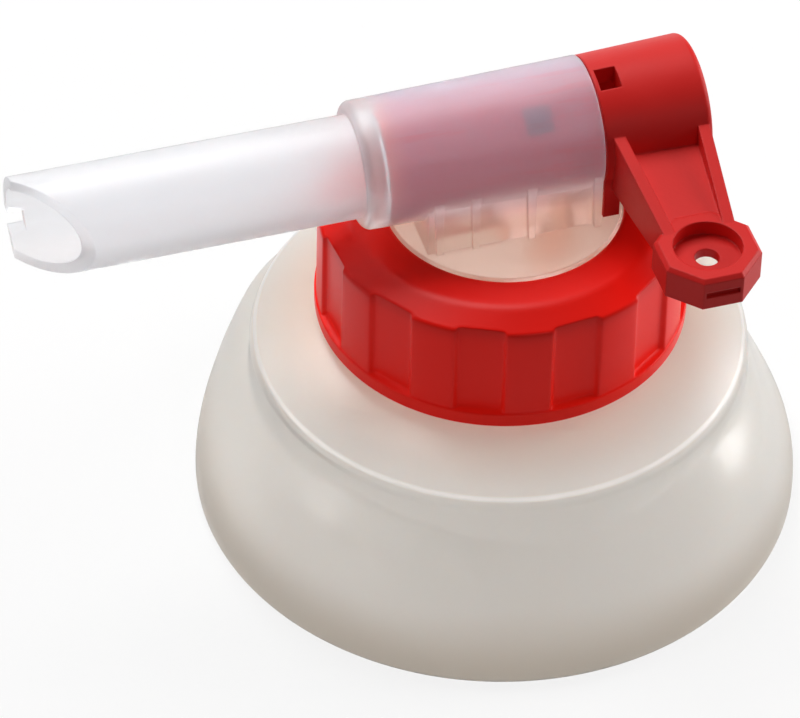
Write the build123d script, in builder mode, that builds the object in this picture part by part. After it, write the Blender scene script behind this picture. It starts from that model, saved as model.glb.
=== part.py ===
# Bag in box tap: an air-inlet lever tap held by a screw collar on the moulded neck of a
# collapsible bag.  Millimetres.  Z is the neck axis, the spout points to -X and the
# lever of the closed tap points to -Y.  Z = 0 is the open lower rim of the bag neck.
import os
from math import cos, hypot, pi, radians, sin, sqrt, tan

from build123d import *

os.makedirs("parts", exist_ok=True)

MIN_Z = (Align.CENTER, Align.CENTER, Align.MIN)
MIN_XZ = (Align.MIN, Align.CENTER, Align.MIN)
MAX_X = (Align.MAX, Align.CENTER, Align.CENTER)

# Clearances: key in its bore, pieces that only rest near each other, collar lip on the flange
run_gap = 0.05
seat_gap = 0.3
lip_gap = 0.2

# Screw collar, the 70 mm cap of a DIN 61 class neck
collar_r = 35.0
skirt_wall = 4.9
thread_room = 2.3
rim_band_h = 3.1
rim_step = 0.3
pad_step = 0.6
recess_d = 1.0
recess_n = 12
recess_turn = -84.2
chamfer_w = 5.3
chamfer_h = 2.3
opening_r = 22.2
lip_h = 2.8
collar_clear = 1.5

# Bag neck, from the round rim up: rounded-square shoulder, tier, dome and neck
wall = 1.7
rim_r = 58.0
rim_h = 4.0
shoulder_h = 33.6
tier_r = 47.2
tier_step = 3.8
tier_edge = 2.6
dome_h = 5.6
dome_bulge = 0.8
neck_h = 17.9
neck_wall = 3.4
neck_fillet = 1.8
corner_deg = 40.0
side_in = 1.8
corner_out = 3.2
# share of the height, share of the way in at the middle of a side and at a corner
shoulder_form = (
    (0.00, 0.000, 0.000),
    (0.12, 0.008, 0.013),
    (0.27, 0.095, 0.053),
    (0.42, 0.286, 0.145),
    (0.57, 0.508, 0.303),
    (0.71, 0.698, 0.500),
    (0.86, 0.865, 0.724),
    (1.00, 1.000, 1.000),
)

# Sealing washer
washer_h = 2.0
washer_w = 5.3
washer_inset = 0.1

# Tap body
flange_h = 3.0
flange_in = 0.4
boss_proud = 0.3
pedestal_h = 14.78
pedestal_len = 33.0
pedestal_in = 1.4
pedestal_sink = 0.5
rib_in = 0.25
rib_t = 1.2
rib_flare = 0.7
rib_from_end = (0.8, 13.4, 24.0, 30.9)
barrel_wall = 2.05
barrel_len = 44.3
barrel_end = 15.0
barrel_draft = 0.7
barrel_edge = 1.5
end_wall = 4.1
spout_bore_r = 7.5
spout_wall = 2.08
spout_len = 59.7
tip_blunt = 2.7
notch_w = 3.3
notch_d = 3.0
notch_drop = 3.8
liquid_x = -9.0
liquid_r = 5.5
chamber_len = 14.0
chamber_wall = 2.7
chamber_roof = 2.1
air_x = 9.5
air_r = 2.4
air_wall = 2.0
air_pipe_len = 17.2
post_in = 4.7
post_w = 2.2
post_len = 3.2

# Tap key
plug_r = 10.5
plug_gap = 0.5
plug_wall = 2.1
bulkhead_x = -2.0
bulkhead_t = 2.0
bead_x = 11.0
bead_w = 1.6
bead_h = 0.3
drum_in = 0.1
drum_len = 20.3
drum_flare = 0.7
drum_edge = 1.2
lug_t = 3.1
lug_w = 4.6
lug_over = 1.6
window_from_drum = 2.8
window_size = (4.0, 4.7)
window_turn = 12.5
core_window_x = 3.9
core_window_size = (5.3, 5.0)
core_window_turn = 37.0
lever_half = 9.1
lever_taper = 2.4
lever_edge = 0.75
lever_reach = 37.9
arm_in = 4.6
lever_rib_t = 2.2
lever_rib_rise = 5.42
lever_rib_edge = 0.4
web_rise = 1.72
web_t = 2.5
web_drop = 0.5
head_half = 9.0
head_rise = 0.22
head_h = 6.9
head_edge = 0.7
head_recess_r = 6.3
head_recess_d = 2.85
head_under_d = 2.15
head_hole_r = 2.25
slot_size = (6.4, 0.7, 1.2)

# Heights that follow from the stack of pieces
tier_z = shoulder_h + tier_step
dome_z = tier_z + dome_h
neck_top = dome_z + neck_h
washer_z = neck_top + seat_gap
flange_z = washer_z + washer_h
lip_z = flange_z + flange_h + lip_gap
collar_top = lip_z + lip_h
collar_bottom = dome_z + collar_clear
boss_top = collar_top + boss_proud
axis_z = boss_top + pedestal_h

# Radii that follow from walls and clearances
pad_r = collar_r - pad_step
recess_r = pad_r - recess_d
recess_w = 2 * recess_r * tan(radians(90 / recess_n))
skirt_bore_r = collar_r - skirt_wall
neck_r = skirt_bore_r - thread_room
neck_bore_r = neck_r - neck_wall
flange_r = neck_r - flange_in
boss_r = opening_r - seat_gap
bore_r = plug_r + run_gap
barrel_r = bore_r + barrel_wall
drum_r = barrel_r - drum_in
spout_r = spout_bore_r + spout_wall
pedestal_half = barrel_r - pedestal_in
air_pipe_r = air_r + air_wall

# Places along the barrel
barrel_x = barrel_end - barrel_len
bore_x = barrel_x + end_wall
tip_x = barrel_x - spout_len
plug_x = bore_x + plug_gap
drum_x = barrel_end + seat_gap
drum_end = drum_x + drum_len
lever_x = drum_end - lever_half - lever_edge

# Lever
rib_top = axis_z + lever_rib_rise
web_top = axis_z + web_rise
head_top = axis_z + head_rise
head_bottom = head_top - head_h
root_y = -sqrt(drum_r**2 - lever_rib_rise**2)
head_y = -lever_reach
arm_y = head_y + arm_in


def arm_plan(half):
    """Outline of the lever arm in plan: half as wide as given at the drum, tapering to the head."""
    return (
        (lever_x - half, root_y / 2),
        (lever_x - half, root_y),
        (lever_x - half + lever_taper, arm_y),
        (lever_x + half - lever_taper, arm_y),
        (lever_x + half, root_y),
        (lever_x + half, root_y / 2),
    )


def along_x(x):
    """A place on the barrel axis with its own z towards +X, away from the spout."""
    return Location((x, 0, axis_z), (0, 90, 0))


def along_spout(x):
    """A place on the barrel axis with its own z towards -X, down the spout."""
    return Location((x, 0, axis_z), (0, -90, 0))


def ring_points(side, corner):
    """Points of a shoulder section: the corners stand out sharply, the sides are long."""
    points = []
    for k in range(24):
        turn = pi * k / 12
        radius = side + (corner - side) * abs(cos(2 * turn)) ** 3
        turn = turn + radians(corner_deg)
        points.append((radius * sin(turn), -radius * cos(turn)))
    return points


def shoulder_solid(rim, side, corner, base, top):
    """A loft from a round rim up to a rounded square, by the shares of shoulder_form."""
    with BuildPart() as solid:
        for rise, side_share, corner_share in shoulder_form:
            with BuildSketch(Plane.XY.offset(base + rise * (top - base))):
                side_r = rim + side_share * (side - rim)
                corner_r = rim + corner_share * (corner - rim)
                with BuildLine():
                    Spline(*ring_points(side_r, corner_r), periodic=True)
                make_face()
        loft()
    return solid.part


def bowed(start, end, bulge):
    """An arc whose middle stands off its chord by the bulge, to the right of the way."""
    dx = end[0] - start[0]
    dy = end[1] - start[1]
    reach = bulge / hypot(dx, dy)
    middle = ((start[0] + end[0]) / 2 + dy * reach, (start[1] + end[1]) / 2 - dx * reach)
    return ThreePointArc(start, middle, end)


def turned_dome(low_z, outer, edge_z, edge, root, root_z, fillet_r, top_z):
    """Half section of a stepped, domed body of revolution, from its foot to the neck."""
    crown = (outer - edge, edge_z)
    foot = (root + fillet_r, root_z)
    rest = 1 - sqrt(0.5)
    with BuildLine() as outline:
        Polyline((0, top_z), (0, low_z), (outer, low_z), (outer, edge_z - edge))
        ThreePointArc((outer, edge_z - edge), (outer - edge * rest, edge_z - edge * rest), crown)
        bowed(crown, foot, dome_bulge)
        bend = (root + fillet_r * rest, root_z + fillet_r * rest)
        ThreePointArc(foot, bend, (root, root_z + fillet_r))
        Polyline((root, root_z + fillet_r), (root, top_z), (0, top_z))
    return outline.line


# Bag neck: lofted shoulder, domed tier and neck, all one thin moulded wall
with BuildPart() as bag_neck:
    side_top = tier_r - side_in
    corner_top = tier_r + corner_out
    add(shoulder_solid(rim_r, side_top, corner_top, 0, shoulder_h))
    with BuildSketch(Plane.XZ):
        low_z = shoulder_h / 2
        add(turned_dome(low_z, tier_r, tier_z, tier_edge, neck_r, dome_z, neck_fillet, neck_top))
        make_face()
    revolve(axis=Axis.Z)
    # the hollow: rim bore, shoulder, tier and neck bore
    Cylinder(rim_r - wall, rim_h, align=MIN_Z, mode=Mode.SUBTRACT)
    inner_rim = rim_r - wall - seat_gap
    hollow = shoulder_solid(inner_rim, side_top - wall, corner_top - wall, rim_h / 2, shoulder_h - wall)
    add(hollow, mode=Mode.SUBTRACT)
    with BuildSketch(Plane.XZ):
        tier_in = tier_r - wall
        bore_z = dome_z - wall
        add(turned_dome(rim_h, tier_in, tier_z - wall, tier_edge, neck_bore_r, bore_z, neck_fillet, neck_top))
        make_face()
    revolve(axis=Axis.Z, mode=Mode.SUBTRACT)
bag_neck.part.label = "bag_neck"
export_step(bag_neck.part, "parts/bag_neck.step")

# Sealing washer under the flange of the tap body
with BuildPart() as sealing_washer:
    with Locations((0, 0, washer_z)):
        Cylinder(flange_r - washer_inset, washer_h, align=MIN_Z)
        Cylinder(flange_r - washer_inset - washer_w, washer_h, align=MIN_Z, mode=Mode.SUBTRACT)
sealing_washer.part.label = "sealing_washer"
export_step(sealing_washer.part, "parts/sealing_washer.step")

# Tap body: flange, boss, ribbed pedestal, barrel and spout in one moulding
with BuildPart() as tap_body:
    with Locations((0, 0, flange_z)):
        Cylinder(flange_r, flange_h, align=MIN_Z)
        Cylinder(boss_r, boss_top - flange_z, align=MIN_Z)
    pedestal_z = boss_top - pedestal_sink
    with Locations((barrel_end - pedestal_len / 2, 0, pedestal_z)):
        Box(pedestal_len, 2 * pedestal_half, axis_z - pedestal_z, align=MIN_Z)
    # ribs on both sides of the pedestal, wider under the barrel than at the boss
    for offset in rib_from_end:
        x = barrel_end - offset
        with BuildSketch(Plane.XZ):
            Polygon(
                (x - rib_t / 2, pedestal_z),
                (x + rib_t / 2, pedestal_z),
                (x + rib_t / 2, axis_z),
                (x - rib_t / 2 - rib_flare, axis_z),
                align=None,
            )
        extrude(amount=barrel_r - barrel_draft * offset / barrel_len - rib_in, both=True)
    # barrel, a little narrower towards its rounded closed end
    with Locations(along_x(barrel_x)):
        Cone(barrel_r - barrel_draft, barrel_r, barrel_len, align=MIN_Z)
    closed_end = tap_body.edges().filter_by(GeomType.CIRCLE).sort_by(Axis.X)[0]
    fillet(closed_end, barrel_edge)
    # spout, cut off at 45 degrees on the lever side and square at its farthest point
    with Locations(along_spout(bore_x)):
        Cylinder(spout_r, bore_x - tip_x + tip_blunt, align=MIN_Z)
    with Locations(Location((tip_x, 0, axis_z), (0, 0, 45))):
        Box(4 * spout_r, 6 * spout_r, 4 * spout_r, align=MAX_X, mode=Mode.SUBTRACT)
    # stop post that the lug of the closed key rests beside
    post_top = axis_z - sqrt(drum_r**2 - post_in**2) - seat_gap
    with Locations((barrel_end, -post_in - post_w / 2, pedestal_z)):
        Box(post_len, post_w, post_top - pedestal_z, align=MIN_XZ)
    # air pipe that reaches down into the neck
    with Locations((air_x, 0, flange_z - air_pipe_len)):
        Cylinder(air_pipe_r, air_pipe_len + flange_h, align=MIN_Z)
    # bore for the key with its snap groove, and the spout bore
    with Locations(along_x(bore_x)):
        Cylinder(bore_r, barrel_len, align=MIN_Z, mode=Mode.SUBTRACT)
    groove_w = bead_w + 2 * seat_gap
    with Locations(along_x(bead_x - groove_w / 2)):
        Cylinder(bore_r + bead_h, groove_w, align=MIN_Z, mode=Mode.SUBTRACT)
    with Locations(along_spout(bore_x)):
        Cylinder(spout_bore_r, bore_x - tip_x + 2 * spout_r, align=MIN_Z, mode=Mode.SUBTRACT)
    # notch in the square end of the tip, low in the far wall
    with Locations((tip_x - tip_blunt, spout_r, axis_z - notch_drop)):
        Box(2 * notch_d, spout_r, notch_w, mode=Mode.SUBTRACT)
    # liquid chamber, cored from below, and its port into the bore
    chamber_h = axis_z - bore_r - chamber_roof - flange_z
    with Locations((liquid_x, 0, flange_z)):
        Box(chamber_len, 2 * (pedestal_half - chamber_wall), chamber_h, align=MIN_Z, mode=Mode.SUBTRACT)
        Cylinder(liquid_r, axis_z - flange_z, align=MIN_Z, mode=Mode.SUBTRACT)
    # air passage from the pipe to the bore
    with Locations((air_x, 0, flange_z - air_pipe_len)):
        Cylinder(air_r, axis_z - flange_z + air_pipe_len, align=MIN_Z, mode=Mode.SUBTRACT)
tap_body.part.label = "tap_body"
export_step(tap_body.part, "parts/tap_body.step")

# Screw collar: lip, chamfer and a skirt with grip recesses
with BuildPart() as screw_collar:
    with BuildSketch(Plane.XZ):
        Polygon(
            (opening_r, lip_z),
            (opening_r, collar_top),
            (pad_r - chamfer_w, collar_top),
            (pad_r, collar_top - chamfer_h),
            (collar_r - rim_step, collar_bottom + rim_band_h),
            (collar_r, collar_bottom + rim_band_h - rim_step),
            (collar_r, collar_bottom),
            (skirt_bore_r, collar_bottom),
            (skirt_bore_r, lip_z),
            align=None,
        )
    revolve(axis=Axis.Z)
    with Locations((0, 0, collar_bottom + rim_band_h)):
        with PolarLocations(recess_r, recess_n, start_angle=recess_turn):
            recess_h = collar_top - collar_bottom
            Box(collar_r - recess_r, recess_w, recess_h, align=MIN_XZ, mode=Mode.SUBTRACT)
screw_collar.part.label = "screw_collar"
export_step(screw_collar.part, "parts/screw_collar.step")

# Octagon head of the lever, its top and bottom edges broken
with BuildPart() as lever_head:
    with BuildSketch(Plane.XY.offset(head_bottom)):
        with Locations((lever_x, head_y)):
            RegularPolygon(head_half, 8, major_radius=False, rotation=22.5)
    extrude(amount=head_h)
    chamfer(lever_head.faces().sort_by(Axis.Z)[-1].edges(), head_edge)
    chamfer(lever_head.faces().sort_by(Axis.Z)[0].edges(), head_edge / 2)

# Room between the ribs of the lever, above and below the web
with BuildPart() as lever_room:
    with BuildSketch(Plane.XY.offset(head_bottom - head_h)):
        Polygon(*arm_plan(lever_half - lever_rib_t), align=None)
    extrude(amount=rib_top - head_bottom + 2 * head_h)
    with BuildSketch(Plane.YZ.offset(lever_x)):
        web_end = head_top - web_drop
        Polygon(
            (root_y / 2, web_top),
            (root_y, web_top),
            (arm_y, web_end),
            (arm_y, web_end - web_t),
            (root_y, web_top - web_t),
            (root_y / 2, web_top - web_t),
            align=None,
        )
    extrude(amount=2 * lever_half, both=True, mode=Mode.SUBTRACT)

# Lever arm: two tapering ribs with a web between them
with BuildPart() as lever_arm:
    with BuildSketch(Plane.XY.offset(head_bottom)):
        Polygon(*arm_plan(lever_half), align=None)
    extrude(amount=rib_top - head_bottom)
    # the top edge of the ribs slopes from the drum down to the head
    over_z = rib_top + head_h
    with BuildSketch(Plane.YZ.offset(lever_x)):
        Polygon((root_y, rib_top), (arm_y, head_top), (arm_y, over_z), (root_y, over_z), align=None)
    extrude(amount=2 * lever_half, both=True, mode=Mode.SUBTRACT)
    add(lever_room.part, mode=Mode.SUBTRACT)
    # rounded outer edge on top of each rib, the two highest sloping faces
    sloping = lever_arm.faces().filter_by(lambda face: face.normal_at().Y < -0.05 < face.normal_at().Z)
    rib_tops = sloping.sort_by(Axis.Z)[-2:].sort_by(Axis.X)
    outer_edges = [rib_tops[0].edges().sort_by(Axis.X)[0], rib_tops[1].edges().sort_by(Axis.X)[-1]]
    fillet(outer_edges, lever_rib_edge)

# Tap key: hollow plug with a bulkhead, drum, stop lug and the lever
with BuildPart() as tap_key:
    with Locations(along_x(plug_x)):
        Cylinder(plug_r, drum_end - plug_x - drum_edge, align=MIN_Z)
    with Locations(along_x(bead_x - bead_w / 2)):
        Cylinder(plug_r + bead_h, bead_w, align=MIN_Z)
    with Locations(along_x(drum_x)):
        Cone(drum_r, drum_r + drum_flare, drum_len, align=MIN_Z)
    open_end = tap_key.edges().filter_by(GeomType.CIRCLE).sort_by(Axis.X)[-1]
    fillet(open_end, drum_edge)
    # stop lug beside the end of the barrel
    lug_y = post_in + post_w + seat_gap
    with Locations((drum_x, -lug_y - lug_w / 2, boss_top + lug_over)):
        Box(lug_t, lug_w, axis_z - boss_top - lug_over, align=MIN_XZ)
    add(lever_arm.part)
    add(lever_head.part)
    # the two hollows either side of the bulkhead
    with Locations(along_x(plug_x)):
        Cylinder(plug_r - plug_wall, bulkhead_x - plug_x, align=MIN_Z, mode=Mode.SUBTRACT)
    with Locations(along_x(bulkhead_x + bulkhead_t)):
        Cylinder(plug_r - plug_wall, drum_end - bulkhead_x, align=MIN_Z, mode=Mode.SUBTRACT)
    # ports that face +Y while the tap is closed
    with Locations(Location((liquid_x, 0, axis_z), (-90, 0, 0))):
        Cylinder(liquid_r, 2 * plug_r, align=MIN_Z, mode=Mode.SUBTRACT)
    with Locations(Location((air_x, 0, axis_z), (-90, 0, 0))):
        Cylinder(air_r, 2 * plug_r, align=MIN_Z, mode=Mode.SUBTRACT)
    # air window in the drum, and the coring window that shows through the barrel
    with Locations(Location((drum_x + window_from_drum, 0, axis_z), (window_turn, 0, 0))):
        Box(*window_size, 2 * drum_r, align=MIN_Z, mode=Mode.SUBTRACT)
    with Locations(Location((core_window_x, 0, axis_z), (core_window_turn, 0, 0))):
        Box(*core_window_size, 2 * drum_r, align=MIN_Z, mode=Mode.SUBTRACT)
    # recesses above and below the hole of the head, and the slot in its front facet
    with Locations((lever_x, head_y, head_top - head_recess_d)):
        Cylinder(head_recess_r, head_h, align=MIN_Z, mode=Mode.SUBTRACT)
    with Locations((lever_x, head_y, head_bottom)):
        Cylinder(head_recess_r, head_under_d, align=MIN_Z, mode=Mode.SUBTRACT)
        Cylinder(head_hole_r, head_h, align=MIN_Z, mode=Mode.SUBTRACT)
    with Locations((lever_x, head_y - head_half, head_bottom + head_h / 2)):
        Box(slot_size[0], 2 * slot_size[1], slot_size[2], mode=Mode.SUBTRACT)
tap_key.part.label = "tap_key"
export_step(tap_key.part, "parts/tap_key.step")
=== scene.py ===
# %% [markdown]
# # A tap for a bag in a box
#
# A collapsible bag of liquid ends in a stiff moulded neck. A red collar screws the tap down on
# that neck. The tap body and the bag are natural polyethylene, which is milky and lets some
# light through; the collar and the turning key with its lever are dyed red all through.
#
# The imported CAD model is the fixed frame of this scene. It gives the place and the size of each
# piece, and every new surface rides on one of its bodies.

import bpy
import numpy as np
from mathutils import Matrix, Vector


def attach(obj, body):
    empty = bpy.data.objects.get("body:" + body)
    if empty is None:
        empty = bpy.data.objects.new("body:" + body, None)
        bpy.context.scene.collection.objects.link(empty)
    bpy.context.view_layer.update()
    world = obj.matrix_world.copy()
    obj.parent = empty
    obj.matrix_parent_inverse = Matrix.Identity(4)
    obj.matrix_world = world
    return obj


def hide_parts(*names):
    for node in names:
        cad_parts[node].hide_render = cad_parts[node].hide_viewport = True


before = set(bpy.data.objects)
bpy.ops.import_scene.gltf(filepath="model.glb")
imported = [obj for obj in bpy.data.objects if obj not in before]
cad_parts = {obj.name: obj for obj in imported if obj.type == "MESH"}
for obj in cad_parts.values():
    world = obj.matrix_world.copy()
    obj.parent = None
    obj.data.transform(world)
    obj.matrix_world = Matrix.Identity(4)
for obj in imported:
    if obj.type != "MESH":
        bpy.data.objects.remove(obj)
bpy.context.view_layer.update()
MM = 0.001

# %% [markdown]
# ## Camera
#
# The photograph is taken from above the lever, a little towards the spout, with a long lens. A
# camera could be set by hand in the viewport, but numbers can be repeated and corrected. It is three
# directions at right angles and a place. The directions come from azimuth, elevation and a small
# roll; the place is the aim point plus the distance along the view.

# %% Camera at the photograph's angle
IMAGE_W = 800
SENSOR_W = 36.0
PIXELS_PER_MM = 5.38
DISTANCE = 900 * MM
MIDDLE_Z = 60 * MM
AIM_RIGHT, AIM_UP = -19.03 * MM, -22.96 * MM
azimuth, elevation, roll = np.radians([-17.34, 43.9, 1.04])

forward = np.array([-np.sin(azimuth), np.cos(azimuth), 0.0])
level = np.array([np.cos(azimuth), np.sin(azimuth), 0.0])
back = np.array([0.0, 0.0, np.sin(elevation)]) - np.cos(elevation) * forward
upright = np.cross(back, level)
right = np.cos(roll) * level + np.sin(roll) * upright
up = np.cos(roll) * upright - np.sin(roll) * level
aim = np.array([0, 0, MIDDLE_Z]) + AIM_RIGHT * right + AIM_UP * up
place = aim + DISTANCE * back

camera = bpy.data.objects.new("camera", bpy.data.cameras.new("camera"))
turned_and_placed = np.vstack([np.column_stack([right, up, back, place]), [0, 0, 0, 1]])
camera.matrix_world = Matrix(turned_and_placed.tolist())
camera.data.sensor_fit = "HORIZONTAL"
camera.data.sensor_width = SENSOR_W
camera.data.lens = PIXELS_PER_MM * DISTANCE / MM * SENSOR_W / IMAGE_W
camera.data.clip_start = 0.01
bpy.context.collection.objects.link(camera)
bpy.context.scene.camera = camera
bpy.context.scene.view_settings.view_transform = "Standard"
print("camera at", place.round(4), "lens", round(camera.data.lens, 1))

# %% [markdown]
# ## Meshes from arrays
#
# Each new piece is a grid of points: rows run along a profile and columns run round an axis. One
# helper joins neighbouring points with quads. Where a direction closes on itself the last row or
# column is joined to the first, so no seam stays open, and the ends of a ridge get caps. The signed
# volume tells which way the faces look, and they are turned round if it is negative.

# %% Grid to mesh
def skin(name, grid, close_rows=False, caps=False):
    """A mesh from grid[row, column, xyz]: quads between neighbours, columns closed to a ring."""
    rows, columns = grid.shape[:2]
    index = np.arange(rows * columns).reshape(rows, columns)
    if close_rows:
        index = np.vstack([index, index[:1]])
    beside = np.roll(index, -1, axis=1)
    quads = np.stack([index[:-1], beside[:-1], beside[1:], index[1:]], axis=-1).reshape(-1, 4)
    points = grid.reshape(-1, 3)
    first, second, third, fourth = points[quads].swapaxes(0, 1)
    volume = np.einsum("ij,ij->", first, np.cross(second, third) + np.cross(third, fourth))
    faces = quads.tolist()
    if caps:
        faces += [index[0, ::-1].tolist(), index[-1].tolist()]
    if volume < 0:
        faces = [face[::-1] for face in faces]
    mesh = bpy.data.meshes.new(name)
    mesh.from_pydata(points.tolist(), [], faces)
    mesh.polygons.foreach_set("use_smooth", np.ones(len(mesh.polygons), dtype=bool))
    piece = bpy.data.objects.new(name, mesh)
    bpy.context.collection.objects.link(piece)
    low, high = points.min(axis=0) / MM, points.max(axis=0) / MM
    print(name, len(faces), "faces, box in mm", low.round(1), high.round(1))
    return piece


def round_axis(radius, height, turn):
    """Points at radius and height, turned from -Y towards +X; all three arrays share a shape."""
    return np.stack([radius * np.sin(turn), -radius * np.cos(turn), height], axis=-1) * MM


# %% [markdown]
# ## Shoulder and neck of the bag
#
# The open rim is a circle, the shoulder turns into a square with bowed sides on its way up, and
# then a round tier, a low dome and the neck follow. A lathe could turn the round parts, but not
# the corners. So the radius is a function of height and turn: round each corner lies a wedge that
# narrows upwards to a crest, with a soft crease on both its sides where the panels begin. Under the
# tier the shoulder draws in to a shelf, so that the tier stands on it as a low drum. The wall is
# one thin skin, so the inside is the outside moved in along its normal, and the two are closed at
# rim and mouth.

# %% Two curves that the bag needs
def eased(where, knots, values):
    """A cubic between each two knots; the slope at a knot is a weighted mean of those beside it."""
    slope = np.gradient(values, knots)
    left = np.clip(np.searchsorted(knots, where) - 1, 0, len(knots) - 2)
    span = knots[left + 1] - knots[left]
    share = (where - knots[left]) / span
    step = values[left + 1] - values[left]
    swing = span * ((1 - share) * slope[left] - share * slope[left + 1]) + (2 * share - 1) * step
    return values[left] + share * step + share * (1 - share) * swing


def soft_max(one, other, width):
    """The larger of the two, with the step between them rounded over width."""
    return 0.5 * (one + other + np.sqrt((one - other) ** 2 + width**2))


# %% Shoulder, a circle below and a square above
RIM_R, SIDE_TOP_R, CORNER_TOP_R, TIER_R = 57.9, 45.4, 50.4, 47.2
SHOULDER_H, TIER_LOW = 33.6, 34.9
FOOT_H, FOOT_DEPTH = 1.2, 0.6
CORNER_TURN, QUARTER = np.radians(39.5), np.pi / 2
WEDGE_AT_TOP, WEDGE_PER_MM, CREASE = np.radians([2.0, 0.5, 4.0])
SHELF_FROM, SHELF_DEPTH = 22.5, 8.5
SWELL_POWER, SHELF_POWER, TIER_BLEND = 1.8, 2.2, 1.5
TURN_STEPS, FOOT_ROWS, SHOULDER_ROWS = 360, 5, 64
# Share of the shoulder's height, then share of the way in, at the middle of a side and at a corner.
form = np.array([
    [0.00, 0.000, 0.000], [0.12, 0.008, 0.013], [0.27, 0.095, 0.053], [0.42, 0.286, 0.145],
    [0.57, 0.508, 0.303], [0.71, 0.698, 0.500], [0.86, 0.865, 0.724], [1.00, 1.000, 1.000],
])

turn = np.linspace(0, 2 * np.pi, TURN_STEPS, endpoint=False)[None, :]
foot_rows = np.linspace(0, FOOT_H, FOOT_ROWS)
shoulder_rows = np.linspace(1.5 * FOOT_H, TIER_LOW, SHOULDER_ROWS)
height = np.concatenate([foot_rows, shoulder_rows])[:, None]
from_corner = np.abs((turn - CORNER_TURN + QUARTER / 2) % QUARTER - QUARTER / 2)
wedge = WEDGE_AT_TOP + WEDGE_PER_MM * np.clip(SHOULDER_H - height, 0, None)
past_crease = soft_max(from_corner - wedge, 0, CREASE) / (QUARTER / 2 - wedge)
swell = np.clip(1 - past_crease, 0, 1) ** SWELL_POWER
part_up = np.clip(height / SHOULDER_H, 0, 1)
side = RIM_R + eased(part_up, form[:, 0], form[:, 1]) * (SIDE_TOP_R - RIM_R)
corner = RIM_R + eased(part_up, form[:, 0], form[:, 2]) * (CORNER_TOP_R - RIM_R)
shelf = SHELF_DEPTH * np.clip((height - SHELF_FROM) / (TIER_LOW - SHELF_FROM), 0, 1) ** SHELF_POWER
foot = FOOT_DEPTH * np.clip(1 - height / FOOT_H, 0, 1) ** 2
shoulder_r = soft_max(side + (corner - side) * swell - shelf, TIER_R, TIER_BLEND) - foot
print("swell of a corner in mm", np.ptp(shoulder_r, axis=1).max().round(2))

# %% Tier edge, dome and neck
NECK_R, DOME_Z, NECK_TOP = 27.8, 43.0, 60.9
TIER_EDGE, TIER_SWEEP = 2.8, np.radians(62)
DOME_BULGE, NECK_BEND, MOUTH_ROUND = 0.8, 1.8, 0.7
NECK_ROWS = (50.0, 56.0)
EDGE_STEPS, DOME_STEPS, BEND_STEPS, LIP_STEPS = 12, 15, 6, 4

arc = np.linspace(0, TIER_SWEEP, EDGE_STEPS + 1)[1:, None]
tier = np.hstack([TIER_R - TIER_EDGE * (1 - np.cos(arc)), TIER_LOW + TIER_EDGE * np.sin(arc)])
share = np.linspace(0, 1, DOME_STEPS + 1)[1:, None]
crown, root = tier[-1], np.array([NECK_R + NECK_BEND, DOME_Z])
lean = np.array([root[1] - crown[1], crown[0] - root[0]]) / np.hypot(*(root - crown))
dome = crown + share * (root - crown) + 4 * share * (1 - share) * DOME_BULGE * lean
arc = np.linspace(0, np.pi / 2, BEND_STEPS + 1)[1:, None]
bend = np.hstack([NECK_R + NECK_BEND * (1 - np.sin(arc)), DOME_Z + NECK_BEND * (1 - np.cos(arc))])
arc = np.linspace(0, np.pi / 2, LIP_STEPS + 1)[:, None]
lip = np.hstack([NECK_R - MOUTH_ROUND * (1 - np.cos(arc)), NECK_TOP - MOUTH_ROUND * (1 - np.sin(arc))])
mouth = np.vstack([[(NECK_R, row) for row in NECK_ROWS], lip])
turned = np.vstack([tier, dome, bend, mouth])
outer_r = np.vstack([shoulder_r, turned[:, :1] + 0 * turn])
outer_z = np.vstack([height + 0 * turn, turned[:, 1:] + 0 * turn])
print("profile rows", len(outer_r))

# %% Inside wall and the finished shell
BAG_WALL, NECK_WALL, THICKEN_OVER = 1.7, 3.4, 3.0

slope_r, slope_z = np.gradient(outer_r, axis=0), np.gradient(outer_z, axis=0)
length = np.hypot(slope_r, slope_z)
wall = BAG_WALL + (NECK_WALL - BAG_WALL) * np.clip((outer_z - DOME_Z) / THICKEN_OVER, 0, 1)
inner_r = outer_r - wall * slope_z / length
inner_z = outer_z + wall * slope_r / length
inner_z = np.clip(np.maximum.accumulate(inner_z, axis=0), 0, NECK_TOP)
# In the mouth the inside is the outside mirrored about the middle of the wall.
inner_r[-len(mouth):] = 2 * NECK_R - NECK_WALL - outer_r[-len(mouth):]
inner_z[-len(mouth):] = outer_z[-len(mouth):]
shell_r = np.vstack([outer_r, inner_r[::-1]])
shell_z = np.vstack([outer_z, inner_z[::-1]])
bag_shell = skin("bag_shell", round_axis(shell_r, shell_z, turn + 0 * shell_r), close_rows=True)
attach(bag_shell, "neck")
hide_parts("bag_neck")

# %% [markdown]
# ## Screw threads
#
# The collar is held by a coarse ridge that climbs six millimetres in a turn. It shows only when
# the collar is unscrewed. The Screw modifier could sweep it, but its ends would stay blunt. So the
# ridge is a four-cornered profile carried along a helix: the middle of the profile climbs with the
# turn, and the ridge sinks into its wall at both ends, where the real mould lets it run out.

# %% Thread of the neck and of the collar
PITCH, THREAD_Z, THREAD_SEAT = 6.0, 46.8, 3.8
STEPS_PER_TURN, RUNOUT_DEGREES = 96, 20
SINK, LEAST_CREST = 0.4, 0.02
SKIRT_R = 30.1


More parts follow.
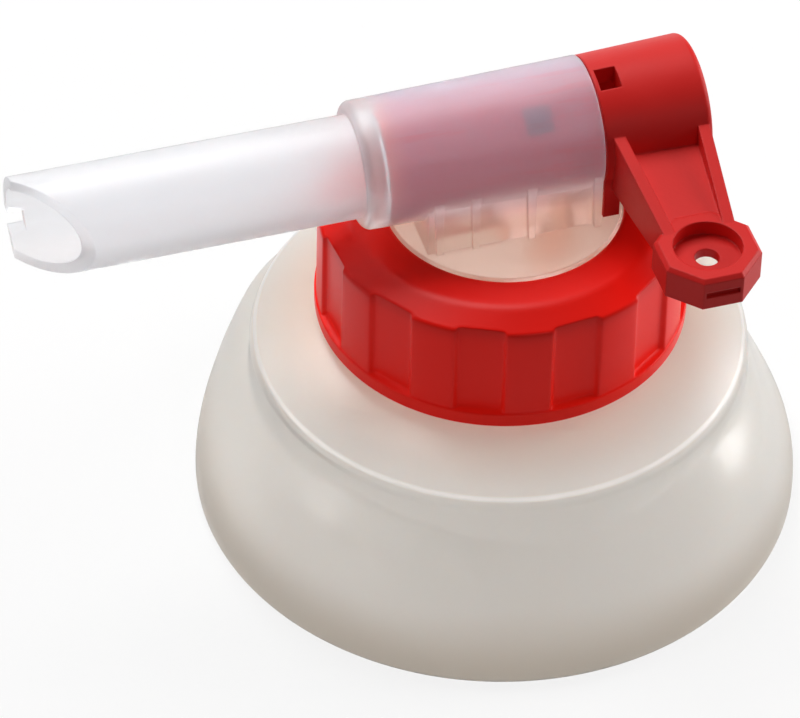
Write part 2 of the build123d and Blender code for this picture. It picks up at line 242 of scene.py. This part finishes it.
def thread(name, wall_r, crest_r, base_w, crest_w, low_z, turns):
    """A trapezoid carried along a helix; its crest sinks to the wall at both ends."""
    climb = np.linspace(0, 1, int(STEPS_PER_TURN * turns))[:, None]
    angle = np.pi / 2 + 2 * np.pi * turns * climb
    degrees_to_end = np.minimum(climb, 1 - climb) * turns * 360
    crest = wall_r + (crest_r - wall_r) * np.clip(degrees_to_end / RUNOUT_DEGREES, LEAST_CREST, 1)
    base = wall_r + np.sign(wall_r - crest_r) * SINK + 0 * climb
    radius = np.hstack([base, crest, crest, base])
    middle = low_z + PITCH * turns * climb
    heights = middle + np.array([[-base_w, -crest_w, crest_w, base_w]]) / 2
    return skin(name, round_axis(radius, heights, angle + 0 * radius), caps=True)


neck_thread = thread(
    "neck_thread", wall_r=NECK_R, crest_r=29.6, base_w=3.2, crest_w=1.5, low_z=THREAD_Z, turns=1.75
)
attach(neck_thread, "neck")
collar_thread = thread(
    "collar_thread", wall_r=SKIRT_R, crest_r=28.3, base_w=2.9, crest_w=1.3,
    low_z=THREAD_Z + THREAD_SEAT, turns=1.5,
)
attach(collar_thread, "collar")

# %% [markdown]
# ## Screw collar
#
# The collar is a stout ring with a lip on top, a sloping shoulder and twelve shallow grip
# recesses. A turned ring with cut boxes gives hard edges that no moulding has. Here the profile
# is turned as rows of points, and in the rows of the grip the radius drops to a flat floor where
# the turn lies inside a recess. Points crowd together at the recess walls and where the floor runs
# out on the sloping shoulder, so each wall is short and its edges stay rounded.

# %% Collar profile
COLLAR_R, WALL_LOW_R, WALL_TOP_R, OPENING_R = 35.0, 34.64, 34.4, 22.2
COLLAR_LOW, COLLAR_TOP, LIP_Z = 44.5, 69.2, 66.4
BAND_TOP = COLLAR_LOW + 3.05
SLOPE_Z, SLOPE_TOP_R = COLLAR_TOP - 2.3, WALL_TOP_R - 5.3
RECESS_R = 33.4
RUNOUT_R = RECESS_R - 0.2
RUNOUT_Z = SLOPE_Z + (COLLAR_TOP - SLOPE_Z) * (WALL_TOP_R - RUNOUT_R) / (WALL_TOP_R - SLOPE_TOP_R)
CURVE_STEPS, CURVE_LIMIT = 4, 0.45
GUARD_REACH, GUARD_LIMIT = 1.5, 0.49


def rounded(corners, cuts):
    """A closed outline with rounded corners: each corner is left out, and a curve bridges the gap.

    The curve is the corner, plus (1 - share) squared of the way back to the cut, plus share squared
    of the way on. A guard point lies on each straight side close to the curve, so that flat faces
    are shaded flat. A limit is the most that curve or guard may take of a side's length.
    """
    def way(neighbours, reach, limit):
        line = neighbours - corners
        length = np.linalg.norm(line, axis=1, keepdims=True)
        return (line / length * np.minimum(reach, limit * length))[:, None]

    before, after = np.roll(corners, 1, axis=0), np.roll(corners, -1, axis=0)
    share = np.linspace(0, 1, CURVE_STEPS + 1)[:, None]
    curve = (1 - share) ** 2 * way(before, cuts, CURVE_LIMIT) + share**2 * way(after, cuts, CURVE_LIMIT)
    first_guard = way(before, GUARD_REACH * cuts, GUARD_LIMIT)
    last_guard = way(after, GUARD_REACH * cuts, GUARD_LIMIT)
    return (corners[:, None] + np.concatenate([first_guard, curve, last_guard], axis=1)).reshape(-1, 2)


# Radius and height of each corner, and how far the rounding reaches from it.
collar_corners = np.array([
    [COLLAR_R, COLLAR_LOW, 0.5], [COLLAR_R, BAND_TOP, 0.45], [WALL_LOW_R, BAND_TOP, 0.5],
    [WALL_TOP_R, SLOPE_Z, 0.7], [RUNOUT_R, RUNOUT_Z, 0.6],
    [SLOPE_TOP_R, COLLAR_TOP, 1.0], [OPENING_R, COLLAR_TOP, 0.8],
    [OPENING_R, LIP_Z, 0.3], [SKIRT_R, LIP_Z, 0.4], [SKIRT_R, COLLAR_LOW, 0.7],
])
profile = rounded(collar_corners[:, :2], collar_corners[:, 2:])
turned_r, turned_z = profile[:, :1], profile[:, 1:]
print("collar profile points", len(profile))

# %% Grip recesses and the finished collar
GRIPS, FIRST_GRIP = 12, np.radians(5.8)
RECESS_HALF, RECESS_WALL = np.radians([7.5, 0.42])
RECESS_FADE_LOW, RECESS_FADE, RECESS_EDGE = BAND_TOP - 0.15, 0.55, 0.12
# Degrees from the middle of a recess to the middle of the rib beside it, close together at the wall.
half_pitch = np.array([0, 2.5, 5, 6.4, 6.9, 7.15, 7.35, 7.5, 7.65, 7.85, 8.1, 8.6, 10.5, 13, 15])

sector = np.radians(np.concatenate([-half_pitch[:0:-1], half_pitch[:-1]]))
recess_middles = FIRST_GRIP + 2 * np.pi / GRIPS * np.arange(GRIPS)[:, None]
grip_turn = (recess_middles + sector).reshape(1, -1)
from_middle = np.tile(sector, GRIPS)[None, :]
inside = 0.5 - 0.5 * np.tanh((np.abs(from_middle) - RECESS_HALF) / RECESS_WALL)
rise = np.clip((turned_z - RECESS_FADE_LOW) / RECESS_FADE, 0, 1)
above_band = rise**2 * (3 - 2 * rise)
recess_floor = RECESS_R / np.cos(from_middle)
cut_r = turned_r - soft_max(turned_r - recess_floor, 0, RECESS_EDGE) * inside * above_band
collar_grid = round_axis(cut_r, turned_z + 0 * cut_r, grip_turn + 0 * cut_r)
grip_collar = skin("grip_collar", collar_grid, close_rows=True)
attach(grip_collar, "collar")
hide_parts("screw_collar")

# %% [markdown]
# ## Effects that the plastics share
#
# Moulded plastic is never one even colour: pigment flows in faint streaks and the mould leaves a
# fine skin. Two node groups hold these effects. One gives a slow mottle, which can be drawn out to
# streaks along X or Z, the other a fine grain as a height. Each material sets its own scales, so
# the bag looks soft and the key looks crisp. Drawn out along X, the mottle also places streaks of
# painted light on the barrel. A third group is a mask that fades from 0 to 1 between two distances
# along a direction. Milky plastic takes up the light of what lies near it, and such masks say where
# that light, and other light and shade, are painted on.

# %% Helpers for node groups
def new_group(name, inputs, output):
    """A shader node group with float inputs {name: default} and one float output."""
    group = bpy.data.node_groups.new(name, "ShaderNodeTree")
    for label, default in inputs.items():
        socket = group.interface.new_socket(label, in_out="INPUT", socket_type="NodeSocketFloat")
        socket.default_value = default
    group.interface.new_socket(output, in_out="OUTPUT", socket_type="NodeSocketFloat")
    return group, group.nodes.new("NodeGroupInput"), group.nodes.new("NodeGroupOutput")


def set_values(node, values):
    """Sets a node's input sockets, named or numbered, to constants."""
    for socket, value in values.items():
        node.inputs[socket].default_value = value


# %% Pigment flow, also drawn out to streaks of painted light
flow, flow_in, flow_out = new_group(
    "pigment_flow_and_light_streaks", {"Scale": 40.0, "Along X": 1.0, "Stretch": 1.0}, "Mottle"
)
spot = flow.nodes.new("ShaderNodeTexCoord")
axes = flow.nodes.new("ShaderNodeCombineXYZ")
set_values(axes, {"Y": 1.0})
squeeze = flow.nodes.new("ShaderNodeVectorMath")
squeeze.operation = "MULTIPLY"
drift = flow.nodes.new("ShaderNodeTexNoise")
set_values(drift, {"Detail": 4.0, "Roughness": 0.55})
flow.links.new(flow_in.outputs["Along X"], axes.inputs["X"])
flow.links.new(flow_in.outputs["Stretch"], axes.inputs["Z"])
flow.links.new(spot.outputs["Object"], squeeze.inputs[0])
flow.links.new(axes.outputs[0], squeeze.inputs[1])
flow.links.new(squeeze.outputs[0], drift.inputs["Vector"])
flow.links.new(flow_in.outputs["Scale"], drift.inputs["Scale"])
flow.links.new(drift.outputs[0], flow_out.inputs["Mottle"])
print("group", flow.name)

# %% Mould grain
RIPPLE_WEIGHT = 5.0

grain, grain_in, grain_out = new_group("mould_grain", {"Scale": 900.0, "Ripple": 60.0}, "Height")
spot = grain.nodes.new("ShaderNodeTexCoord")
fine = grain.nodes.new("ShaderNodeTexNoise")
set_values(fine, {"Detail": 2.0})
slow = grain.nodes.new("ShaderNodeTexNoise")
set_values(slow, {"Detail": 1.0})
summed = grain.nodes.new("ShaderNodeMath")
summed.operation = "MULTIPLY_ADD"
set_values(summed, {1: RIPPLE_WEIGHT})
grain.links.new(spot.outputs["Object"], fine.inputs["Vector"])
grain.links.new(spot.outputs["Object"], slow.inputs["Vector"])
grain.links.new(grain_in.outputs["Scale"], fine.inputs["Scale"])
grain.links.new(grain_in.outputs["Ripple"], slow.inputs["Scale"])
grain.links.new(slow.outputs[0], summed.inputs[0])
grain.links.new(fine.outputs[0], summed.inputs[2])
grain.links.new(summed.outputs[0], grain_out.inputs["Height"])
print("group", grain.name)

# %% Mask along a direction
band, band_in, band_out = new_group("band_mask", {"From": 0.0, "To": 0.01}, "Mask")
band.interface.new_socket("Direction", in_out="INPUT", socket_type="NodeSocketVector")
spot = band.nodes.new("ShaderNodeTexCoord")
reach_along = band.nodes.new("ShaderNodeVectorMath")
reach_along.operation = "DOT_PRODUCT"
fade = band.nodes.new("ShaderNodeMapRange")
fade.interpolation_type = "SMOOTHSTEP"
band.links.new(spot.outputs["Object"], reach_along.inputs[0])
band.links.new(band_in.outputs["Direction"], reach_along.inputs[1])
band.links.new(reach_along.outputs["Value"], fade.inputs["Value"])
band.links.new(band_in.outputs["From"], fade.inputs["From Min"])
band.links.new(band_in.outputs["To"], fade.inputs["From Max"])
band.links.new(fade.outputs["Result"], band_out.inputs["Mask"])
print("group", band.name)

# %% [markdown]
# ## Materials
#
# All plastics start from the same few nodes: the mottle picks between two near colours and two
# near roughnesses, and the grain bends the normal by a hair. Where a piece has hard edges, a bevel
# node rounds the light on them first, because no moulded edge is truly sharp. What differs is set
# on the shader.

# %% Plastic material
def plastic(name, dark, light, rough, flow_scale, stretch, grain_scale, grain_mm, edge_mm):
    """A material whose colour and roughness follow the mottle and whose normal follows the grain."""
    material = bpy.data.materials.new(name)
    material.use_nodes = True
    nodes, links = material.node_tree.nodes, material.node_tree.links
    shader = nodes["Principled BSDF"]
    mottle = nodes.new("ShaderNodeGroup")
    mottle.node_tree = flow
    set_values(mottle, {"Scale": flow_scale, "Stretch": stretch})
    colour = nodes.new("ShaderNodeMix")
    colour.data_type = "RGBA"
    set_values(colour, {"A": (*dark, 1), "B": (*light, 1)})
    gloss = nodes.new("ShaderNodeMapRange")
    set_values(gloss, {"From Min": 0.3, "From Max": 0.7, "To Min": rough[0], "To Max": rough[1]})
    texture = nodes.new("ShaderNodeGroup")
    texture.node_tree = grain
    set_values(texture, {"Scale": grain_scale})
    bump = nodes.new("ShaderNodeBump")
    set_values(bump, {"Distance": grain_mm * MM})
    links.new(mottle.outputs["Mottle"], colour.inputs["Factor"])
    links.new(mottle.outputs["Mottle"], gloss.inputs["Value"])
    links.new(colour.outputs["Result"], shader.inputs["Base Color"])
    links.new(gloss.outputs["Result"], shader.inputs["Roughness"])
    links.new(texture.outputs["Height"], bump.inputs["Height"])
    links.new(bump.outputs["Normal"], shader.inputs["Normal"])
    if edge_mm:
        edge = nodes.new("ShaderNodeBevel")
        edge.samples = 6
        set_values(edge, {"Radius": edge_mm * MM})
        links.new(edge.outputs["Normal"], bump.inputs["Normal"])
    print("material", name)
    return material, shader


# %% [markdown]
# ### Where a colour lies
#
# A mask is a value from 0 to 1 over the surface. It comes from the place along a direction, from
# the distance to the Z axis or from the pigment's mottle drawn out to streaks, and two masks
# multiplied hold where both do. Most masks here say where light or shade is painted.

# %% Masks
UPWARD, ALONG = (0, 0, 1), (1, 0, 0)


def band_mask(material, direction, start, end):
    """A mask output that fades from 0 at start to 1 at end, both in mm along the direction."""
    mask = material.node_tree.nodes.new("ShaderNodeGroup")
    mask.node_tree = band
    set_values(mask, {"Direction": direction, "From": start * MM, "To": end * MM})
    return mask.outputs["Mask"]


def ring_mask(material, start, end):
    """A mask that fades from 0 at the radius start to 1 at the radius end, in mm from the Z axis."""
    nodes, links = material.node_tree.nodes, material.node_tree.links
    point = nodes.new("ShaderNodeTexCoord")
    flat = nodes.new("ShaderNodeVectorMath")
    flat.operation = "MULTIPLY"
    set_values(flat, {1: (1, 1, 0)})
    radius = nodes.new("ShaderNodeVectorMath")
    radius.operation = "LENGTH"
    fade_in = nodes.new("ShaderNodeMapRange")
    set_values(fade_in, {"From Min": start * MM, "From Max": end * MM})
    links.new(point.outputs["Object"], flat.inputs[0])
    links.new(flat.outputs[0], radius.inputs[0])
    links.new(radius.outputs["Value"], fade_in.inputs["Value"])
    return fade_in.outputs["Result"]


def streak_mask(material, scale, along_x, low, high):
    """A mask of streaks along X: the mottle drawn out that way, faded in from low to high."""
    streaks = material.node_tree.nodes.new("ShaderNodeGroup")
    streaks.node_tree = flow
    set_values(streaks, {"Scale": scale, "Along X": along_x})
    fade_in = material.node_tree.nodes.new("ShaderNodeMapRange")
    fade_in.interpolation_type = "SMOOTHSTEP"
    set_values(fade_in, {"From Min": low, "From Max": high})
    material.node_tree.links.new(streaks.outputs["Mottle"], fade_in.inputs["Value"])
    return fade_in.outputs["Result"]


def both_masks(material, one, other):
    """The product of two masks."""
    product = material.node_tree.nodes.new("ShaderNodeMath")
    product.operation = "MULTIPLY"
    material.node_tree.links.new(one, product.inputs[0])
    material.node_tree.links.new(other, product.inputs[1])
    return product.outputs[0]


# %% [markdown]
# ### What a mask does
#
# A tint lays a colour over the base colour; most tints here paint light or shade. A painted glow
# lets the surface give off a little light of its own. That stands for light which wanders a long
# way inside milky plastic and comes out somewhere else. To follow it truly would take very many
# samples.

# %% Tint, painted glow and dressing
def tint(material, mask, colour, strength):
    """Mixes colour over the base colour where the mask is high."""
    nodes, links = material.node_tree.nodes, material.node_tree.links
    target = nodes["Principled BSDF"].inputs["Base Color"]
    under = target.links[0].from_socket
    amount = nodes.new("ShaderNodeMath")
    amount.operation = "MULTIPLY"
    set_values(amount, {1: strength})
    over = nodes.new("ShaderNodeMix")
    over.data_type = "RGBA"
    set_values(over, {"B": (*colour, 1)})
    links.new(mask, amount.inputs[0])
    links.new(amount.outputs[0], over.inputs["Factor"])
    links.new(under, over.inputs["A"])
    links.new(over.outputs["Result"], target)


def paint_glow(material, plain, zones, strength):
    """Paints a glow on the surface: plain all over, then each zone's colour by its mask."""
    nodes, links = material.node_tree.nodes, material.node_tree.links
    shader = nodes["Principled BSDF"]
    set_values(shader, {"Emission Strength": strength})
    under = None
    for mask, colour in zones:
        layer = nodes.new("ShaderNodeMix")
        layer.data_type = "RGBA"
        set_values(layer, {"A": (*plain, 1), "B": (*colour, 1)})
        links.new(mask, layer.inputs["Factor"])
        if under:
            links.new(under, layer.inputs["A"])
        under = layer.outputs["Result"]
    links.new(under, shader.inputs["Emission Color"])


def dress(piece, material):
    """Puts one material on every slot of a piece, adding a slot if it has none."""
    if not piece.material_slots:
        piece.data.materials.append(None)
    for slot in piece.material_slots:
        slot.material = material


# %% [markdown]
# ### Milky polyethylene of the bag
#
# The wall is thin and cloudy. Part of the light goes through it, blurred, and part spreads a few
# millimetres inside and leaves again, so the shape has no hard shade. A cloudy volume in a clear
# skin would be closer to nature, but it takes far more samples. So the shader mixes rough
# transmission with subsurface scattering, with a radius close to the wall. The red light that the
# dome takes up from the collar above it is painted into its colour, and the foot is painted a
# little darker, as shade where the wall turns away from the light. A faint glow is painted over the
# whole wall, and a painted highlight runs along the edge of the tier as a thin pale line.

# %% Bag polyethylene
bag_plastic, bag_shader = plastic(
    "bag_polyethylene", dark=(0.93, 0.87, 0.81), light=(0.97, 0.93, 0.885), rough=(0.30, 0.36),
    flow_scale=28.0, stretch=0.5, grain_scale=700.0, grain_mm=0.02, edge_mm=0,
)
set_values(bag_shader, {
    "Transmission Weight": 0.6, "Specular IOR Level": 0.6, "IOR": 1.5,
    "Subsurface Weight": 0.6, "Subsurface Radius": (1.0, 0.85, 0.75), "Subsurface Scale": 3 * MM,
})
# Painted red light from the collar, taken up by the dome.
painted_collar_light_on_dome = band_mask(bag_plastic, UPWARD, start=36.5, end=44)
tint(bag_plastic, painted_collar_light_on_dome, (0.94, 0.72, 0.60), strength=0.9)
# Painted shade: the foot darker where the wall turns away from the light.
painted_foot_shade = band_mask(bag_plastic, UPWARD, start=17, end=2)
tint(bag_plastic, painted_foot_shade, (0.66, 0.58, 0.48), strength=0.8)
# Painted highlight: a thin pale line along the edge of the tier, given off as glow.
over_line = band_mask(bag_plastic, UPWARD, start=37.4, end=37.05)
under_line = band_mask(bag_plastic, UPWARD, start=36.5, end=36.95)
outside = ring_mask(bag_plastic, start=45.4, end=45.9)
painted_tier_highlight = both_masks(bag_plastic, both_masks(bag_plastic, under_line, over_line), outside)
# A faint glow painted over the whole wall, brightest on the painted highlight.
paint_glow(bag_plastic, (0.09, 0.085, 0.08), [(painted_tier_highlight, (1.0, 0.96, 0.98))], strength=0.17)
dress(bag_shell, bag_plastic)
dress(neck_thread, bag_plastic)

# %% [markdown]
# ### Clearer polyethylene of the tap body
#
# The tap body keeps its CAD mesh, which has all its ribs and ports, and is only dressed. It is the
# same plastic in a clearer grade: the red key shows through the barrel as a pink cloud, and a window
# in the key's plug as a dark spot. Rough transmission does that, because it blurs what lies behind
# the wall; a lilac tint over the barrel, painted light of the plug seen through, adds to it, and
# painted shade turns it pinker low down. Liquid and plastic bend the light in the narrow gap round
# the plug, and that light is painted on as streaks of lilac and rose along the axis. The pedestal
# below stands over the collar; the light it takes up from the red around it is painted on as a
# peach colour and a peach glow. The spout has no plug in it and stays pale: a pale glow is painted
# on it, for light that travels along its wall, over a slightly greyer colour. A faint glow is
# painted over the whole body.

# %% Tap body polyethylene
body_plastic, body_shader = plastic(
    "tap_polyethylene", dark=(0.93, 0.925, 0.945), light=(0.975, 0.97, 0.985), rough=(0.34, 0.46),
    flow_scale=45.0, stretch=1.0, grain_scale=900.0, grain_mm=0.01, edge_mm=0.4,
)
set_values(body_shader, {
    "Transmission Weight": 0.85, "Specular IOR Level": 0.18, "IOR": 1.45,
    "Subsurface Weight": 0.4, "Subsurface Radius": (1.0, 0.8, 0.75), "Subsurface Scale": 3 * MM,
})
# Painted light of the red plug seen through the barrel: a lilac tint between its ends.
plug_end = band_mask(body_plastic, ALONG, start=-26.5, end=-20)
barrel_mouth = band_mask(body_plastic, ALONG, start=15.3, end=14.4)
painted_plug_light_zone = both_masks(body_plastic, plug_end, barrel_mouth)
tint(body_plastic, painted_plug_light_zone, (0.76, 0.68, 0.86), strength=0.6)
# Painted light from the gap round the plug: lilac and rose streaks along the axis.
lilac_light_streaks = streak_mask(body_plastic, scale=190.0, along_x=0.12, low=0.46, high=0.60)
lilac = both_masks(body_plastic, painted_plug_light_zone, lilac_light_streaks)
tint(body_plastic, lilac, (0.84, 0.86, 1.0), strength=0.45)
rose_light_streaks = streak_mask(body_plastic, scale=260.0, along_x=0.10, low=0.55, high=0.66)
rose = both_masks(body_plastic, painted_plug_light_zone, rose_light_streaks)
tint(body_plastic, rose, (0.92, 0.50, 0.58), strength=0.30)
# Painted shade and red light: the lower barrel pinker and darker.
painted_low_barrel_shade = both_masks(body_plastic, painted_plug_light_zone, band_mask(body_plastic, UPWARD, start=94, end=80))
tint(body_plastic, painted_low_barrel_shade, (0.80, 0.48, 0.52), strength=0.35)

# %% Pedestal and spout of the tap body
# Painted red light from the collar: the pedestal and disc peach.
painted_collar_light_below_barrel = band_mask(body_plastic, UPWARD, start=79, end=73)
tint(body_plastic, painted_collar_light_below_barrel, (0.97, 0.76, 0.66), strength=1.0)
# The spout's colour a little greyer, under the painted glow below.
spout = band_mask(body_plastic, ALONG, start=-24, end=-28.5)
tint(body_plastic, spout, (0.89, 0.89, 0.905), strength=0.8)
# Painted glow: faint over the whole body, pale on the spout, peach on the pedestal.
under_barrel = band_mask(body_plastic, UPWARD, start=80, end=75)
behind_spout = band_mask(body_plastic, ALONG, start=-30, end=-26)
pedestal = both_masks(body_plastic, under_barrel, behind_spout)
painted_glow_zones = [(spout, (0.68, 0.67, 0.70)), (pedestal, (1.0, 0.70, 0.58))]
paint_glow(body_plastic, (0.28, 0.28, 0.32), painted_glow_zones, strength=0.07)
dress(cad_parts["tap_body"], body_plastic)
print("zones of the tap body with a light of their own", len(painted_glow_zones))

# %% [markdown]
# ### Red polyethylene of collar and key
#
# The collar is smooth, the key comes from a spark-eroded mould and is duller. Both are a warm red,
# and the key's is a shade deeper. They let no light through, so plain base colours do. The collar's
# skirt is thin and the bright neck lies behind it, so a faint red glow is painted on it to lift its
# shade.

# %% Red plastics
collar_red, collar_shader = plastic(
    "collar_red", dark=(0.86, 0.008, 0.0045), light=(0.95, 0.012, 0.006), rough=(0.30, 0.38),
    flow_scale=60.0, stretch=0.4, grain_scale=800.0, grain_mm=0.01, edge_mm=0.3,
)
set_values(collar_shader, {"Specular IOR Level": 0.16})
# Painted glow: a faint red light on the collar's skirt, which lifts its shade.
skirt = band_mask(collar_red, UPWARD, start=68, end=63)
paint_glow(collar_red, (0, 0, 0), [(skirt, (1.0, 0.02, 0.01))], strength=0.12)
key_red, key_shader = plastic(
    "key_red", dark=(0.58, 0.011, 0.009), light=(0.68, 0.017, 0.014), rough=(0.4, 0.52),
    flow_scale=70.0, stretch=1.0, grain_scale=1400.0, grain_mm=0.02, edge_mm=0.45,
)
set_values(key_shader, {"Specular IOR Level": 0.22})
dress(grip_collar, collar_red)
dress(collar_thread, collar_red)
dress(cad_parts["tap_key"], key_red)

# %% [markdown]
# ### Foam washer
#
# The washer is hidden under the flange of the tap until the collar is off. It is a pale closed-cell
# foam, so its grain is coarse. Its CAD mesh is a plain ring already and is only dressed.

# %% Washer foam
washer_foam, _ = plastic(
    "washer_foam", dark=(0.55, 0.55, 0.53), light=(0.75, 0.75, 0.72), rough=(0.75, 0.9),
    flow_scale=120.0, stretch=1.0, grain_scale=1800.0, grain_mm=0.12, edge_mm=0.2,
)
dress(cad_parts["sealing_washer"], washer_foam)

# %% [markdown]
# ## Floor, background and light
#
# The object stands on a white sweep. A white world alone would leave it floating, so there is a
# floor to take its shadow. The camera sees the floor as a white glow over white paint: the glow
# makes it read as white, and the paint keeps a soft shadow. Reflections and rays through milky
# plastic see the glow too. Other rays see plain grey paint, which leaves the undersides in shade.
# Five soft lamps stand round the object: overhead, in front, behind, and one on each side.

# %% White floor
FLOOR_REACH, FLOOR_GAP = 4.0, 0.2 * MM

floor_corners = FLOOR_REACH * np.array([[-1, -1, 0], [1, -1, 0], [1, 1, 0], [-1, 1, 0]])
floor_mesh = bpy.data.meshes.new("floor")
floor_mesh.from_pydata(floor_corners.tolist(), [], [(0, 1, 2, 3)])
floor = bpy.data.objects.new("floor", floor_mesh)
floor.location.z = -FLOOR_GAP
bpy.context.collection.objects.link(floor)
print("floor", 2 * FLOOR_REACH, "m wide")

# %% Paint and glow of the floor
GLOW_SEEN, GLOW_MIRRORED = 0.84, 0.92

white = bpy.data.materials.new("white_floor")
white.use_nodes = True
nodes, links = white.node_tree.nodes, white.node_tree.links
paint = nodes["Principled BSDF"]
set_values(paint, {"Roughness": 0.9})
glow = nodes.new("ShaderNodeEmission")
ray = nodes.new("ShaderNodeLightPath")
coat = nodes.new("ShaderNodeMix")
coat.data_type = "RGBA"
set_values(coat, {"A": (0.35, 0.35, 0.35, 1), "B": (0.9, 0.9, 0.9, 1)})
links.new(ray.outputs["Is Camera Ray"], coat.inputs["Factor"])
links.new(coat.outputs["Result"], paint.inputs["Base Color"])
mirrored = nodes.new("ShaderNodeMath")
mirrored.operation = "MAXIMUM"
links.new(ray.outputs["Is Glossy Ray"], mirrored.inputs[0])
links.new(ray.outputs["Is Transmission Ray"], mirrored.inputs[1])
seen_share = nodes.new("ShaderNodeMath")
seen_share.operation = "MULTIPLY"
set_values(seen_share, {1: GLOW_SEEN})
links.new(ray.outputs["Is Camera Ray"], seen_share.inputs[0])
glow_share = nodes.new("ShaderNodeMath")
glow_share.operation = "MULTIPLY_ADD"
set_values(glow_share, {1: GLOW_MIRRORED})
links.new(mirrored.outputs[0], glow_share.inputs[0])
links.new(seen_share.outputs[0], glow_share.inputs[2])
blend = nodes.new("ShaderNodeMixShader")
links.new(glow_share.outputs[0], blend.inputs[0])
links.new(paint.outputs[0], blend.inputs[1])
links.new(glow.outputs[0], blend.inputs[2])
links.new(blend.outputs[0], nodes["Material Output"].inputs["Surface"])
dress(floor, white)
print("material", white.name)

# %% World
ROOM_LIGHT = 0.06
WHITE = (1, 1, 1, 1)

world = bpy.data.worlds.new("studio")
bpy.context.scene.world = world
world.use_nodes = True
nodes, links = world.node_tree.nodes, world.node_tree.links
room = nodes["Background"]
set_values(room, {"Color": WHITE, "Strength": ROOM_LIGHT})
backdrop = nodes.new("ShaderNodeBackground")
set_values(backdrop, {"Color": WHITE})
ray = nodes.new("ShaderNodeLightPath")
seen = nodes.new("ShaderNodeMath")
seen.operation = "MAXIMUM"
blend = nodes.new("ShaderNodeMixShader")
links.new(ray.outputs["Is Camera Ray"], seen.inputs[0])
links.new(ray.outputs["Is Transmission Ray"], seen.inputs[1])
links.new(seen.outputs[0], blend.inputs[0])
links.new(room.outputs[0], blend.inputs[1])
links.new(backdrop.outputs[0], blend.inputs[2])
links.new(blend.outputs[0], nodes["World Output"].inputs["Surface"])
print("world", world.name, "room light", ROOM_LIGHT)

# %% Lamps
def softbox(name, spot, size, watts):
    """A square area lamp at spot that looks at the middle of the tap."""
    lamp = bpy.data.lights.new(name, "AREA")
    lamp.size = size
    lamp.energy = watts
    lamp_object = bpy.data.objects.new(name, lamp)
    lamp_object.location = spot
    view = Vector((0, 0, MIDDLE_Z)) - Vector(spot)
    lamp_object.rotation_euler = view.to_track_quat("-Z", "Y").to_euler()
    bpy.context.collection.objects.link(lamp_object)
    print("lamp", name, watts, "W")


softbox("overhead", spot=(-0.10, 0.48, 0.98), size=0.6, watts=9.0)
softbox("front", spot=(0.12, -1.1, 0.75), size=0.2, watts=1.1)
softbox("back", spot=(0.1, 1.1, 0.35), size=0.6, watts=1.7)
softbox("spout_side", spot=(-0.95, 0.2, 0.45), size=0.6, watts=2.2)
softbox("key_side", spot=(0.95, 0.08, 0.36), size=0.6, watts=7.6)
